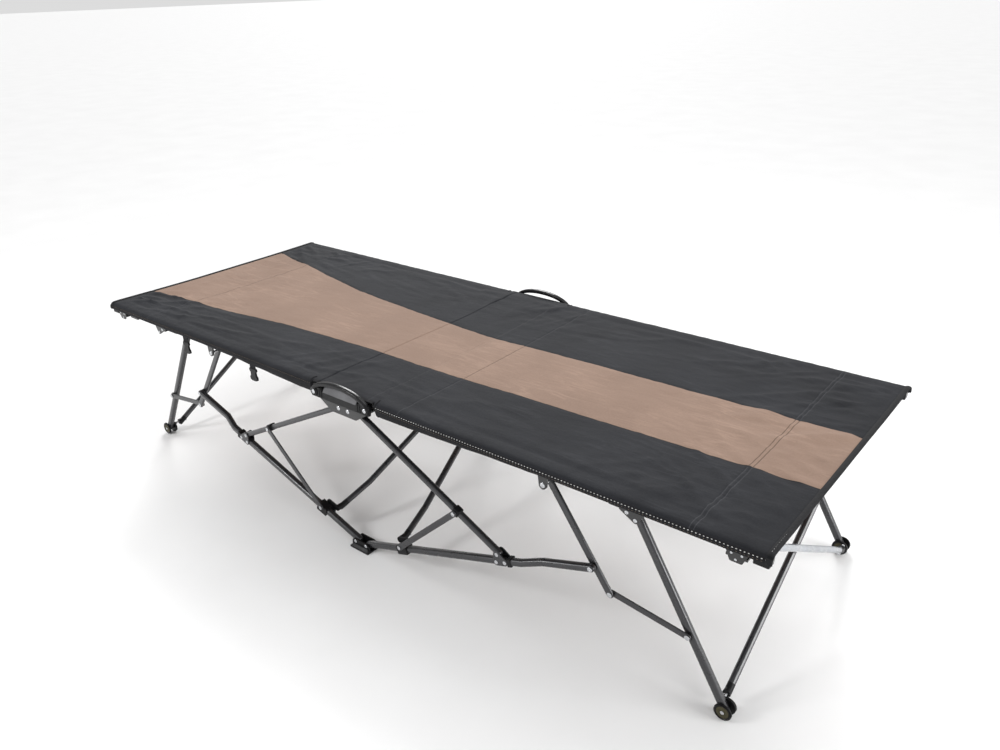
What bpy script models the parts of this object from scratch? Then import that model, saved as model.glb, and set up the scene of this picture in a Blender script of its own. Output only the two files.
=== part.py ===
"""Folding camp cot: a steel side frame on each side, crossed tubes between them, a cloth bed.

X runs along the bed, Y across it, Z up from the ground. One quarter of the frame is drawn at
+X, +Y and mirrored into place, so most functions below take the quarter's points as they are.
"""
import math

import bmesh
import bpy
from mathutils import Matrix, Vector
from mathutils.geometry import convex_hull_2d

# ---- driving dimensions, metres -------------------------------------------------------------
HALF_LENGTH = 1.0975
HALF_WIDTH = 0.415
BED_TOP = 0.480
RAIL_RADIUS = 0.0085
RAIL_Y = 0.402
RAIL_Z = 0.461
BAR_HALF_HEIGHT = 0.0085
STRUT_HALF_HEIGHT = 0.0075
BRACE_HALF_HEIGHT = 0.008
INNER_LEG_HALF_WIDTH = 0.0085
LINK_HALF_HEIGHT = 0.0075
OUTER_LEG_HALF_WIDTH = 0.0095
CROSS_TUBE_RADIUS = 0.0084
ROLLER_RADIUS = 0.020
PIN_RADIUS = 0.004
AXLE_RADIUS = 0.005
HOLE_RADIUS = 0.0043
HEAD_RADIUS = 0.0065
GAP = 0.0003
OVERLAP = 0.0005

# pivots of one quarter in the side frame's plane, (x, z)
FOOT_PIVOT = Vector((0.020, 0.018))
COLLAR_PIVOT = Vector((0.153, 0.0735))
STRUT_FOOT = Vector((0.473, 0.193))
BAR_TIP = Vector((0.715, 0.2545))
LINK_TOP = Vector((0.755, 0.1955))
LINK_FOOT = Vector((0.935, 0.172))
ROLLER_AXLE = Vector((1.023, 0.020))
STRUT_HEAD = Vector((0.017, 0.427))
BRACE_HEAD = Vector((0.349, 0.2566))
RAIL_PIVOT = Vector((0.093, 0.457))
INNER_LEG_PIVOT = Vector((0.597, 0.422))
OUTER_LEG_PIVOT = Vector((0.7915, 0.417))

# where each flat member lies across the bed, from the middle of the bed outwards
BAR_LAYER = (0.3855, 0.4035)
BAR_TIP_LAYER = (0.3735, 0.3882)
STRUT_LAYER = (0.3865, 0.4025)
BRACE_LAYER = (0.4065, 0.4105)
INNER_LEG_LAYER = (0.3640, 0.3725)
LINK_LAYER = (0.3590, 0.3635)
OUTER_LEG_LAYER = (0.3385, 0.3555)
INNER_LEG_LUG_LAYER = (0.3900, 0.3950)
FORK_LAYERS = ((0.3355, 0.3380), (0.3560, 0.3585))
ROLLER_LAYER = (0.3325, 0.3587)
RIVET_FACE = 0.4122
BAR_RIVET_FACE = 0.3895
LINK_RIVET_FACE = 0.3655
CLOTH_LAYER = (0.4708, BED_TOP)
CLOTH_SEAM = 0.0872
HUB_LAYERS = ((0.3795, 0.3820), (0.4142, 0.4167))
HANDLE_LAYER = (0.4170, 0.4290)
WEB_HEIGHTS = (0.4730, 0.4755)
FOOT_EARS = ((0.3795, 0.3835), (0.4055, 0.4095))

# ends of the crossed tubes: x, y on the side they are fixed to, z
END_TUBE_TOP = Vector((1.022, 0.370, 0.446))
END_TUBE_FOOT = Vector((1.022, 0.316, 0.027))
CENTRE_TUBE_TOP = Vector((0.022, 0.366, 0.452))
CENTRE_TUBE_FOOT = Vector((0.134, 0.366, 0.066))
CROSS_OFFSET = 0.0105

# a lower bar steps inwards between these places along it, counted from its foot pivot
STEP_START = 0.548
STEP_END = 0.600
# the rivets of a strut's plate, along the lower bar from below the strut's foot
PLATE_RIVETS = (-0.008, 0.018)

ARC_STEP = math.radians(22.5)

bar_axis = (BAR_TIP - FOOT_PIVOT).normalized()
bar_normal = Vector((-bar_axis.y, bar_axis.x))


def clear_scene():
    for obj in list(bpy.data.objects):
        bpy.data.objects.remove(obj, do_unlink=True)


def new_collection(name):
    collection = bpy.data.collections.new(name)
    bpy.context.scene.collection.children.link(collection)
    return collection


def make_material(name, colour, roughness, metallic=0.0):
    material = bpy.data.materials.new(name)
    material.use_nodes = True
    shader = material.node_tree.nodes["Principled BSDF"]
    shader.inputs["Base Color"].default_value = (*colour, 1.0)
    shader.inputs["Roughness"].default_value = roughness
    shader.inputs["Metallic"].default_value = metallic
    return material


# ---- outlines in the side frame's plane ------------------------------------------------------
def disc(centre, radius):
    count = round(math.tau / ARC_STEP)
    turns = (i * ARC_STEP for i in range(count))
    return [Vector(centre) + radius * Vector((math.cos(a), math.sin(a))) for a in turns]


def hull(*circles):
    """The rounded outline around circles, each a centre and a radius."""
    points = [p for centre, radius in circles for p in disc(centre, radius)]
    return [points[i] for i in convex_hull_2d(points)]


# ---- solids --------------------------------------------------------------------------------
def to_mesh(obj):
    """Replaces a curve or a modified object by the mesh that it shows."""
    depsgraph = bpy.context.evaluated_depsgraph_get()
    mesh = bpy.data.meshes.new_from_object(obj.evaluated_get(depsgraph))
    mesh.transform(obj.matrix_world)
    name = obj.name
    bpy.data.objects.remove(obj, do_unlink=True)
    bm = bmesh.new()
    bm.from_mesh(mesh)
    bmesh.ops.remove_doubles(bm, verts=bm.verts, dist=1e-6)
    bm.to_mesh(mesh)
    bm.free()
    solid = bpy.data.objects.new(name, mesh)
    work.objects.link(solid)
    return solid


def plate(outline, layer, holes=()):
    """A flat plate across Y: an outline in X and Z, with round holes of (centre, radius)."""
    curve = bpy.data.curves.new("plate", "CURVE")
    curve.dimensions = "2D"
    curve.fill_mode = "BOTH"
    curve.extrude = (layer[1] - layer[0]) / 2
    for points in [outline] + [disc(centre, radius) for centre, radius in holes]:
        spline = curve.splines.new("POLY")
        spline.points.add(len(points) - 1)
        for point, place in zip(spline.points, points):
            point.co = (*place, 0, 1)
        spline.use_cyclic_u = True
    obj = bpy.data.objects.new("plate", curve)
    obj.matrix_world = Matrix.Translation((0, sum(layer) / 2, 0)) @ Matrix.Rotation(math.pi / 2, 4, "X")
    work.objects.link(obj)
    return to_mesh(obj)


def pin(centre, layer, radius=PIN_RADIUS):
    return plate(disc(centre, radius), layer)


def tube(points, radius):
    curve = bpy.data.curves.new("tube", "CURVE")
    curve.dimensions = "3D"
    curve.bevel_depth = radius
    curve.bevel_resolution = 4
    curve.use_fill_caps = True
    spline = curve.splines.new("POLY")
    spline.points.add(len(points) - 1)
    for point, place in zip(spline.points, points):
        point.co = (*place, 1)
    obj = bpy.data.objects.new("tube", curve)
    work.objects.link(obj)
    return to_mesh(obj)


def box(x, y, z):
    """A box between two limits along each axis."""
    size = [b - a for a, b in (x, y, z)]
    centre = [(a + b) / 2 for a, b in (x, y, z)]
    bpy.ops.mesh.primitive_cube_add(size=1, location=centre)
    obj = bpy.context.object
    obj.scale = size
    bpy.context.view_layer.update()
    return to_mesh(obj)


def combine(solid, others, operation):
    for other in others:
        modifier = solid.modifiers.new(operation.lower(), "BOOLEAN")
        modifier.operation = operation
        modifier.object = other
        modifier.solver = "EXACT"
    bpy.context.view_layer.update()
    result = to_mesh(solid)
    for other in others:
        bpy.data.objects.remove(other, do_unlink=True)
    return result


def joined(solid, *others):
    return combine(solid, others, "UNION")


def cut(solid, *others):
    return combine(solid, others, "DIFFERENCE")


def shade_round(mesh):
    mesh.shade_smooth()
    mesh.set_sharp_from_angle(angle=math.radians(35))


def place(solid, name, material, pivot, half=1, side=1):
    """Mirrors a quarter's solid to its half and side, and puts its origin on its joint."""
    mesh = solid.data.copy()
    mesh.transform(Matrix.Diagonal((half, side, 1, 1)))
    if half * side < 0:
        mesh.flip_normals()
    pivot = Vector((half * pivot[0], side * pivot[1], pivot[2]))
    mesh.transform(Matrix.Translation(-pivot))
    mesh.materials.clear()
    mesh.materials.append(material)
    shade_round(mesh)
    obj = bpy.data.objects.new(name, mesh)
    obj.location = pivot
    cot.objects.link(obj)
    return obj


def quarters(solid, name, material, pivot):
    for side_name, side in (("near", -1), ("far", 1)):
        for half_name, half in (("right", 1), ("left", -1)):
            place(solid, f"{name}_{side_name}_{half_name}", material, pivot, half, side)
    bpy.data.objects.remove(solid, do_unlink=True)


def sides(solid, name, material, pivot):
    for side_name, side in (("near", -1), ("far", 1)):
        place(solid, f"{name}_{side_name}", material, pivot, 1, side)
    bpy.data.objects.remove(solid, do_unlink=True)


def at(point, y):
    return Vector((point.x, y, point.y))


def middle(layer):
    return sum(layer) / 2


# ---- the side frame ------------------------------------------------------------------------
def step_inwards(mesh, start, end):
    """Moves a bar's tip to its own layer, with a slope between two places along it."""
    bm = bmesh.new()
    bm.from_mesh(mesh)
    for along in (start, end):
        fold = at(FOOT_PIVOT + bar_axis * along, 0)
        geometry = bm.verts[:] + bm.edges[:] + bm.faces[:]
        bmesh.ops.bisect_plane(bm, geom=geometry, plane_co=fold, plane_no=at(bar_axis, 0))
    for vert in bm.verts:
        along = (Vector((vert.co.x, vert.co.z)) - FOOT_PIVOT).dot(bar_axis)
        share = min(1, max(0, (along - start) / (end - start)))
        outer = vert.co.y > middle(BAR_LAYER)
        vert.co.y += share * (BAR_TIP_LAYER[outer] - BAR_LAYER[outer])
    bm.to_mesh(mesh)
    bm.free()


def make_lower_bar():
    """A bar that steps inwards near its tip, with a plate on both sides holding the strut."""
    bar = plate(
        hull((FOOT_PIVOT, BAR_HALF_HEIGHT), (BAR_TIP, BAR_HALF_HEIGHT)), BAR_LAYER,
        [(FOOT_PIVOT, HOLE_RADIUS)])
    step_inwards(bar.data, STEP_START, STEP_END)
    foot = (STRUT_FOOT - FOOT_PIVOT).dot(bar_axis)
    corners = [(FOOT_PIVOT + bar_axis * (foot + offset), 0.0083) for offset in PLATE_RIVETS]
    outline = hull((STRUT_FOOT, 0.010), *corners)
    outer = plate(outline, (BAR_LAYER[1] - 0.0007, 0.4055))
    inner = plate(outline, (0.3835, BAR_LAYER[0] + 0.0007))
    strut_pin = pin(STRUT_FOOT, (0.3840, 0.4050))
    tip_rivet = pin(BAR_TIP, (BAR_TIP_LAYER[1] - OVERLAP, BAR_RIVET_FACE), HEAD_RADIUS)
    bar = joined(bar, outer, inner, strut_pin, tip_rivet)
    quarters(bar, "lower_bar", charcoal, at(FOOT_PIVOT, middle(BAR_LAYER)))


def make_strut():
    strut = plate(
        hull((STRUT_FOOT, STRUT_HALF_HEIGHT), (STRUT_HEAD, STRUT_HALF_HEIGHT)), STRUT_LAYER,
        [(STRUT_FOOT, HOLE_RADIUS), (STRUT_HEAD, HOLE_RADIUS)])
    spacer = pin(BRACE_HEAD, (STRUT_LAYER[1] - OVERLAP, BRACE_LAYER[0] - GAP), STRUT_HALF_HEIGHT)
    brace_pin = pin(BRACE_HEAD, (STRUT_LAYER[1], RIVET_FACE - OVERLAP))
    head = pin(BRACE_HEAD, (BRACE_LAYER[1] + GAP, RIVET_FACE), HEAD_RADIUS)
    strut = joined(strut, spacer, brace_pin, head)
    quarters(strut, "strut", charcoal, at(STRUT_HEAD, middle(STRUT_LAYER)))


def make_brace():
    """The short strip between the strut and the collar that slides on the lower bar."""
    brace = plate(
        hull((BRACE_HEAD, BRACE_HALF_HEIGHT), (COLLAR_PIVOT, BRACE_HALF_HEIGHT)), BRACE_LAYER,
        [(BRACE_HEAD, HOLE_RADIUS)])
    rivet = pin(COLLAR_PIVOT, (BRACE_LAYER[1] - OVERLAP, RIVET_FACE), HEAD_RADIUS)
    quarters(joined(brace, rivet), "brace", charcoal, at(BRACE_HEAD, middle(BRACE_LAYER)))


def bar_block(start, end, low, high, layer):
    """A block along the lower bar, between two heights above the bar's centre line."""
    outline = [
        FOOT_PIVOT + bar_axis * along + bar_normal * up
        for along, up in ((start, low), (end, low), (end, high), (start, high))]
    return plate(outline, layer)


def make_collar():
    """A sleeve on the lower bar, with a lug on its inner side for the crossed tube."""
    along = (COLLAR_PIVOT - FOOT_PIVOT).dot(bar_axis)
    start, end = along - 0.018, along + 0.018
    clear = 0.0004
    half_height = BAR_HALF_HEIGHT + 0.0035
    sleeve = bar_block(start, end, -half_height, half_height, (0.3815, 0.4060))
    lug = bar_block(along - 0.026, along + 0.002, -0.009, 0.009, (0.3760, 0.3822))
    inside = bar_block(
        start - 0.01, end + 0.01, -BAR_HALF_HEIGHT - clear, BAR_HALF_HEIGHT + clear,
        (BAR_LAYER[0] - clear, BAR_LAYER[1] + clear))
    collar = cut(joined(sleeve, lug), inside)
    quarters(collar, "collar", black, at(COLLAR_PIVOT, middle(BAR_LAYER)))


def make_inner_leg():
    radius = INNER_LEG_HALF_WIDTH
    leg = plate(hull((INNER_LEG_PIVOT, radius), (LINK_TOP, radius)), INNER_LEG_LAYER)
    quarters(leg, "inner_leg", charcoal, at(INNER_LEG_PIVOT, middle(INNER_LEG_LAYER)))


def make_link():
    link = plate(
        hull((LINK_TOP, LINK_HALF_HEIGHT), (LINK_FOOT, LINK_HALF_HEIGHT)), LINK_LAYER,
        [(LINK_FOOT, HOLE_RADIUS)])
    quarters(link, "link", charcoal, at(LINK_FOOT, middle(LINK_LAYER)))


def make_outer_leg():
    radius = OUTER_LEG_HALF_WIDTH
    leg = plate(
        hull((OUTER_LEG_PIVOT, radius), (ROLLER_AXLE, radius)), OUTER_LEG_LAYER,
        [(OUTER_LEG_PIVOT, HOLE_RADIUS), (ROLLER_AXLE, AXLE_RADIUS + OVERLAP)])
    inside = OUTER_LEG_LAYER[1] - 0.001
    link_pin = pin(LINK_FOOT, (inside, LINK_RIVET_FACE - 0.001))
    washer = pin(LINK_FOOT, (inside, LINK_LAYER[0] - GAP), 0.008)
    head = pin(LINK_FOOT, (LINK_LAYER[1] + GAP, LINK_RIVET_FACE), HEAD_RADIUS)
    leg = joined(leg, link_pin, washer, head)
    quarters(leg, "outer_leg", charcoal, at(OUTER_LEG_PIVOT, middle(OUTER_LEG_LAYER)))


def make_roller():
    """Two discs on an axle through the foot of the outer leg."""
    outer = pin(ROLLER_AXLE, (OUTER_LEG_LAYER[1] + GAP, ROLLER_LAYER[1]), ROLLER_RADIUS)
    inner = pin(ROLLER_AXLE, (ROLLER_LAYER[0], OUTER_LEG_LAYER[0] - GAP), ROLLER_RADIUS)
    axle = pin(ROLLER_AXLE, (ROLLER_LAYER[0] + 0.001, ROLLER_LAYER[1] - 0.001), AXLE_RADIUS)
    quarters(joined(outer, axle, inner), "roller", black, at(ROLLER_AXLE, middle(OUTER_LEG_LAYER)))


# ---- the bed rails ---------------------------------------------------------------------------
def make_rail():
    """A round rail with an eye at the hub, a flat lug for the inner leg, a fork for the outer leg."""
    rail = tube([(RAIL_PIVOT.x, RAIL_Y, RAIL_Z), (HALF_LENGTH, RAIL_Y, RAIL_Z)], RAIL_RADIUS)
    eye = plate(disc(RAIL_PIVOT, 0.0115), (RAIL_Y - RAIL_RADIUS + OVERLAP, RAIL_Y + RAIL_RADIUS - OVERLAP))
    upper = (INNER_LEG_PIVOT.x, 0.452)
    lug = plate(hull((INNER_LEG_PIVOT, 0.010), (upper, 0.013)), INNER_LEG_LUG_LAYER)
    x = OUTER_LEG_PIVOT.x
    web = box((x - 0.030, x + 0.020), (FORK_LAYERS[0][0], 0.3990), (0.4440, 0.4560))
    fork_outline = hull((OUTER_LEG_PIVOT, 0.012), ((x - 0.020, 0.442), 0.009), ((x + 0.012, 0.442), 0.008))
    fork = [plate(fork_outline, layer) for layer in FORK_LAYERS]
    leg_pin = pin(OUTER_LEG_PIVOT, (FORK_LAYERS[0][0] + OVERLAP, FORK_LAYERS[1][1] - OVERLAP))
    hole = pin(RAIL_PIVOT, (0.380, 0.420), HOLE_RADIUS)
    rail = cut(joined(rail, eye, lug, web, *fork, leg_pin), hole)
    quarters(rail, "rail", charcoal, at(RAIL_PIVOT, RAIL_Y))


def make_end_bracket():
    """A folded plate under the rail near its end, with a lug for the crossed tube."""
    corner = 0.004
    top = [((x, 0.464), corner) for x in (1.012, 1.060)]
    shoulder = [((x, 0.448), corner) for x in (1.010, 1.062)]
    tip = [((x, 0.430), corner) for x in (1.024, 1.046)]
    inner_shoulder = [((x, 0.448), corner) for x in (1.004, 1.062)]
    outer_layer, inner_layer = (0.4134, 0.4158), (0.3842, 0.3866)
    outer = plate(hull(*top, *shoulder, *tip), outer_layer)
    inner = plate(hull(*inner_shoulder, *tip), inner_layer)
    rail_bottom = RAIL_Z - RAIL_RADIUS
    across = (inner_layer[0] + OVERLAP, outer_layer[1] - OVERLAP)
    web = box((1.008, 1.062), across, (0.4465, rail_bottom - GAP))
    lug = box((1.006, 1.046), (0.3812, inner_layer[0] + 0.001), (0.4300, 0.4500))
    quarters(joined(outer, inner, web, lug), "end_bracket", black, (1.022, RAIL_Y, RAIL_Z))


# ---- the middle: hub, handle and foot ----------------------------------------------------------
def both_halves(point):
    return [Vector(point), Vector((-point[0], point[1]))]


def make_hub():
    """Two plates and a web on top, with a pin for each rail and each strut."""
    circles = [(p, 0.013) for p in both_halves(RAIL_PIVOT)]
    circles += [(p, 0.011) for p in both_halves((0.042, 0.4215))]
    plates = [plate(hull(*circles), layer) for layer in HUB_LAYERS]
    posts = [box((-0.060, 0.060), layer, (0.4650, WEB_HEIGHTS[1])) for layer in HUB_LAYERS]
    web = box((-0.060, 0.060), (HUB_LAYERS[0][0], HUB_LAYERS[1][1]), WEB_HEIGHTS)
    pins = [
        pin(p, (HUB_LAYERS[0][0] + OVERLAP, HUB_LAYERS[1][1] - OVERLAP))
        for pivot in (RAIL_PIVOT, STRUT_HEAD) for p in both_halves(pivot)]
    hub = joined(plates[0], plates[1], *posts, web, *pins)
    sides(hub, "hub", black, (0, middle(HANDLE_LAYER), RAIL_PIVOT.y))


def make_handle():
    """A moulded plate on the hub's outer face, arched over a slot for the fingers."""
    steps = 12
    turns = [math.pi * i / steps for i in range(steps + 1)]
    arch = [Vector((0.094 * math.cos(a), 0.464 + 0.034 * math.sin(a))) for a in turns]
    foot = [Vector((0.105, 0.440)), Vector((0.105, 0.462))]
    outline = [*foot, *arch, Vector((-0.105, 0.462)), Vector((-0.105, 0.440))]
    handle = plate(outline, HANDLE_LAYER)
    corners = both_halves((0.050, 0.478)) + both_halves((0.030, 0.4815))
    slot = plate(hull(*[(corner, 0.006) for corner in corners]), (0.410, 0.440))
    sides(cut(handle, slot), "handle", black, (0, middle(HANDLE_LAYER), RAIL_PIVOT.y))


def make_foot():
    """The middle foot: a flared pad with two ears, pinned to the right lower bar."""
    pad = box((-0.034, 0.034), (0.3715, 0.4175), (0.0, 0.005))
    circles = [(p, 0.010) for p in both_halves((0.022, 0.016))]
    circles += [(p, 0.003) for p in both_halves((0.030, 0.007))]
    ears = [plate(hull(*circles), layer) for layer in FOOT_EARS]
    foot_pin = pin(FOOT_PIVOT, (FOOT_EARS[0][0] + OVERLAP, FOOT_EARS[1][1] - OVERLAP))
    sides(joined(pad, *ears, foot_pin), "foot", black, at(Vector((0, FOOT_PIVOT.y)), middle(BAR_LAYER)))


# ---- crossed tubes ---------------------------------------------------------------------------
def cross_points(top, foot, offset):
    """Both ends moved along the normal of the tubes' plane, so that crossing tubes pass clear."""
    run = Vector((foot.x - top.x, foot.z - top.z)).normalized()
    normal = Vector((-run.y, run.x))
    if normal.x < 0:
        normal.negate()
    shift = Vector((normal.x, 0, normal.y)) * offset
    high = Vector((top.x, -top.y, top.z)) + shift
    low = foot + shift
    return high, low


def make_cross_tubes():
    """Each tube runs from a top on one side to a foot on the other; the pair makes an X."""
    for side_name, side, offset in (("near", -1, -CROSS_OFFSET), ("far", 1, CROSS_OFFSET)):
        for half_name, half in (("right", 1), ("left", -1)):
            high, low = cross_points(END_TUBE_TOP, END_TUBE_FOOT, offset)
            end_tube = tube([high, low], CROSS_TUBE_RADIUS)
            place(end_tube, f"end_tube_{side_name}_{half_name}", steel, high, half, side)
            bpy.data.objects.remove(end_tube, do_unlink=True)
            high, low = cross_points(CENTRE_TUBE_TOP, CENTRE_TUBE_FOOT, offset)
            bend = low.lerp(high, 0.14) + Vector((0, 0, -0.016))
            centre_tube = tube([high, bend, low], CROSS_TUBE_RADIUS)
            place(centre_tube, f"centre_tube_{side_name}_{half_name}", charcoal, high, half, side)
            bpy.data.objects.remove(centre_tube, do_unlink=True)


# ---- the cloth bed -----------------------------------------------------------------------------
def make_cloth():
    """Three plain slabs: one over each pair of rails, and one between the hubs."""
    for half_name, half in (("right", 1), ("left", -1)):
        ends = sorted((half * (CLOTH_SEAM + GAP), half * HALF_LENGTH))
        slab = box(ends, (-HALF_WIDTH, HALF_WIDTH), CLOTH_LAYER)
        place(slab, f"cloth_{half_name}", canvas, (half * RAIL_PIVOT.x, 0, RAIL_PIVOT.y))
        bpy.data.objects.remove(slab, do_unlink=True)
    slab = box((-CLOTH_SEAM, CLOTH_SEAM), (-0.378, 0.378), CLOTH_LAYER)
    place(slab, "cloth_centre", canvas, (0, 0, RAIL_PIVOT.y))
    bpy.data.objects.remove(slab, do_unlink=True)


clear_scene()
cot = new_collection("folding_camp_cot")
work = new_collection("working_shapes")
charcoal = make_material("powder_coat_charcoal", (0.055, 0.055, 0.060), 0.42, 0.3)
steel = make_material("powder_coat_grey", (0.22, 0.22, 0.23), 0.38, 0.5)
black = make_material("black_plastic", (0.018, 0.018, 0.020), 0.50)
canvas = make_material("canvas_charcoal", (0.045, 0.045, 0.050), 0.85)

make_lower_bar()
make_strut()
make_brace()
make_collar()
make_inner_leg()
make_link()
make_outer_leg()
make_roller()
make_rail()
make_end_bracket()
make_hub()
make_handle()
make_foot()
make_cross_tubes()
make_cloth()
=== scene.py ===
"""Looks of the folding camp cot: its canvas, stitching, rivets and small fittings, and every material."""
import math

import bmesh
import bpy
from mathutils import Euler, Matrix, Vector, noise
from mathutils.geometry import convex_hull_2d

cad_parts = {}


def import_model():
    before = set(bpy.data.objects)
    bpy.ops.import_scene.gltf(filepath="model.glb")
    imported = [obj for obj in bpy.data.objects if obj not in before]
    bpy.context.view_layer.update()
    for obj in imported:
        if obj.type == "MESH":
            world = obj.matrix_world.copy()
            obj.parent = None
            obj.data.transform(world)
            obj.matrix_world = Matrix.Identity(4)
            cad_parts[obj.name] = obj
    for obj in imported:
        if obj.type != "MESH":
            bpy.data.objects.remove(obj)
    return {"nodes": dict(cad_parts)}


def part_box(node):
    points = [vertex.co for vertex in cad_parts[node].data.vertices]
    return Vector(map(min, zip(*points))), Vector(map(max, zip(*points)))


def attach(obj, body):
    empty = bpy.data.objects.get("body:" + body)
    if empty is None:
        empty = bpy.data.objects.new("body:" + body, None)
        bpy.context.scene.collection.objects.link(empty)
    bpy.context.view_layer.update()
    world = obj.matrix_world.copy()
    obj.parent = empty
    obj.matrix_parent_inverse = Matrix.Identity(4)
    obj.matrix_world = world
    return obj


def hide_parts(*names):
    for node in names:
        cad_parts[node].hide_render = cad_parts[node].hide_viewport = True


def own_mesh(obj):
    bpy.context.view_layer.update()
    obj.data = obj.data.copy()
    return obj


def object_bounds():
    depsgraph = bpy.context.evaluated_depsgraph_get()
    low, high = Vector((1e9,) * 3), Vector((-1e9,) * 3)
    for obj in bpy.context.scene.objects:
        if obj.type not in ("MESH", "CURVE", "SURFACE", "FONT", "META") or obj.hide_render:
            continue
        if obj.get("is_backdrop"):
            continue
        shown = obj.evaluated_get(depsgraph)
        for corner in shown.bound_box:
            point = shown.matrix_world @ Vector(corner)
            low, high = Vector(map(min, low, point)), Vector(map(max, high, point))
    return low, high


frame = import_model()
cad_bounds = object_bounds()

SIDES = {"near": -1, "far": 1}
HALVES = {"right": 1, "left": -1}

# pivots of one quarter, (x, z), as the frame has them
FOOT_PIVOT = Vector((0.020, 0.018))
COLLAR_PIVOT = Vector((0.153, 0.0735))
STRUT_FOOT = Vector((0.473, 0.193))
BAR_TIP = Vector((0.715, 0.2545))
LINK_TOP = Vector((0.755, 0.1955))
LINK_FOOT = Vector((0.935, 0.172))
ROLLER_AXLE = Vector((1.023, 0.020))
STRUT_HEAD = Vector((0.017, 0.427))
BRACE_HEAD = Vector((0.349, 0.2566))
RAIL_PIVOT = Vector((0.093, 0.457))
INNER_LEG_PIVOT = Vector((0.597, 0.422))
OUTER_LEG_PIVOT = Vector((0.7915, 0.417))
LEG_PLATE_LOW = OUTER_LEG_PIVOT + Vector((0.0395, 0.0235))
LEG_PLATE_HIGH = OUTER_LEG_PIVOT + Vector((0.0200, 0.0350))

# inner and outer faces of what lies side by side across the bed, measured from its middle
LAYERS = {
    "lower_bar": (0.3855, 0.4035), "strut": (0.3865, 0.4025), "brace": (0.4065, 0.4105),
    "inner_leg": (0.3640, 0.3725), "link": (0.3590, 0.3635), "outer_leg": (0.3385, 0.3555)}
INNER_STRUT_PLATE = (0.3835, 0.3856)
OUTER_STRUT_PLATE = (0.4034, 0.4055)
FOOT_EARS = (0.3795, 0.4095)
COLLAR_LUG = (0.3752, 0.3795)
LEG_PLATE = (0.4118, 0.4144)
INNER_END_PLATE = (0.3842, 0.3866)
OUTER_END_PLATE = (0.4134, 0.4158)
HUB_INNER_FACE = 0.3795
HUB_OUTER_FACE = 0.4167
BRACE_WASHER_FACE = 0.4122
HANDLE_BACK = 0.4172
BOSS_FRONT = 0.4290

# the bend near the lower bar's end: where it starts and ends along the bar, and how far in it goes
STEP = (0.548, 0.600, -0.0137)
PLATE_RIVETS = (-0.008, 0.018)

# the rails and the crossed tubes
RAIL_Y = 0.402
RAIL_Z = 0.461
END_TUBE_TOP = Vector((1.022, 0.370, 0.446))
END_TUBE_FOOT = Vector((1.022, 0.316, 0.027))
CENTRE_TUBE_TOP = Vector((0.022, 0.366, 0.452))
CENTRE_TUBE_FOOT = Vector((0.134, 0.366, 0.066))
CROSS_OFFSET = 0.0105
BOOT_RADIUS = 0.0095
PIN_RADIUS = 0.0040

# the bed as a whole: its half length, where its sheets meet, and where the two straps are along it
HALF_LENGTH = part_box("cloth_right")[1][0]
SPLIT = 0.0872
STRAPS = (-0.690, -0.368)

bar_axis = (BAR_TIP - FOOT_PIVOT).normalized()


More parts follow.
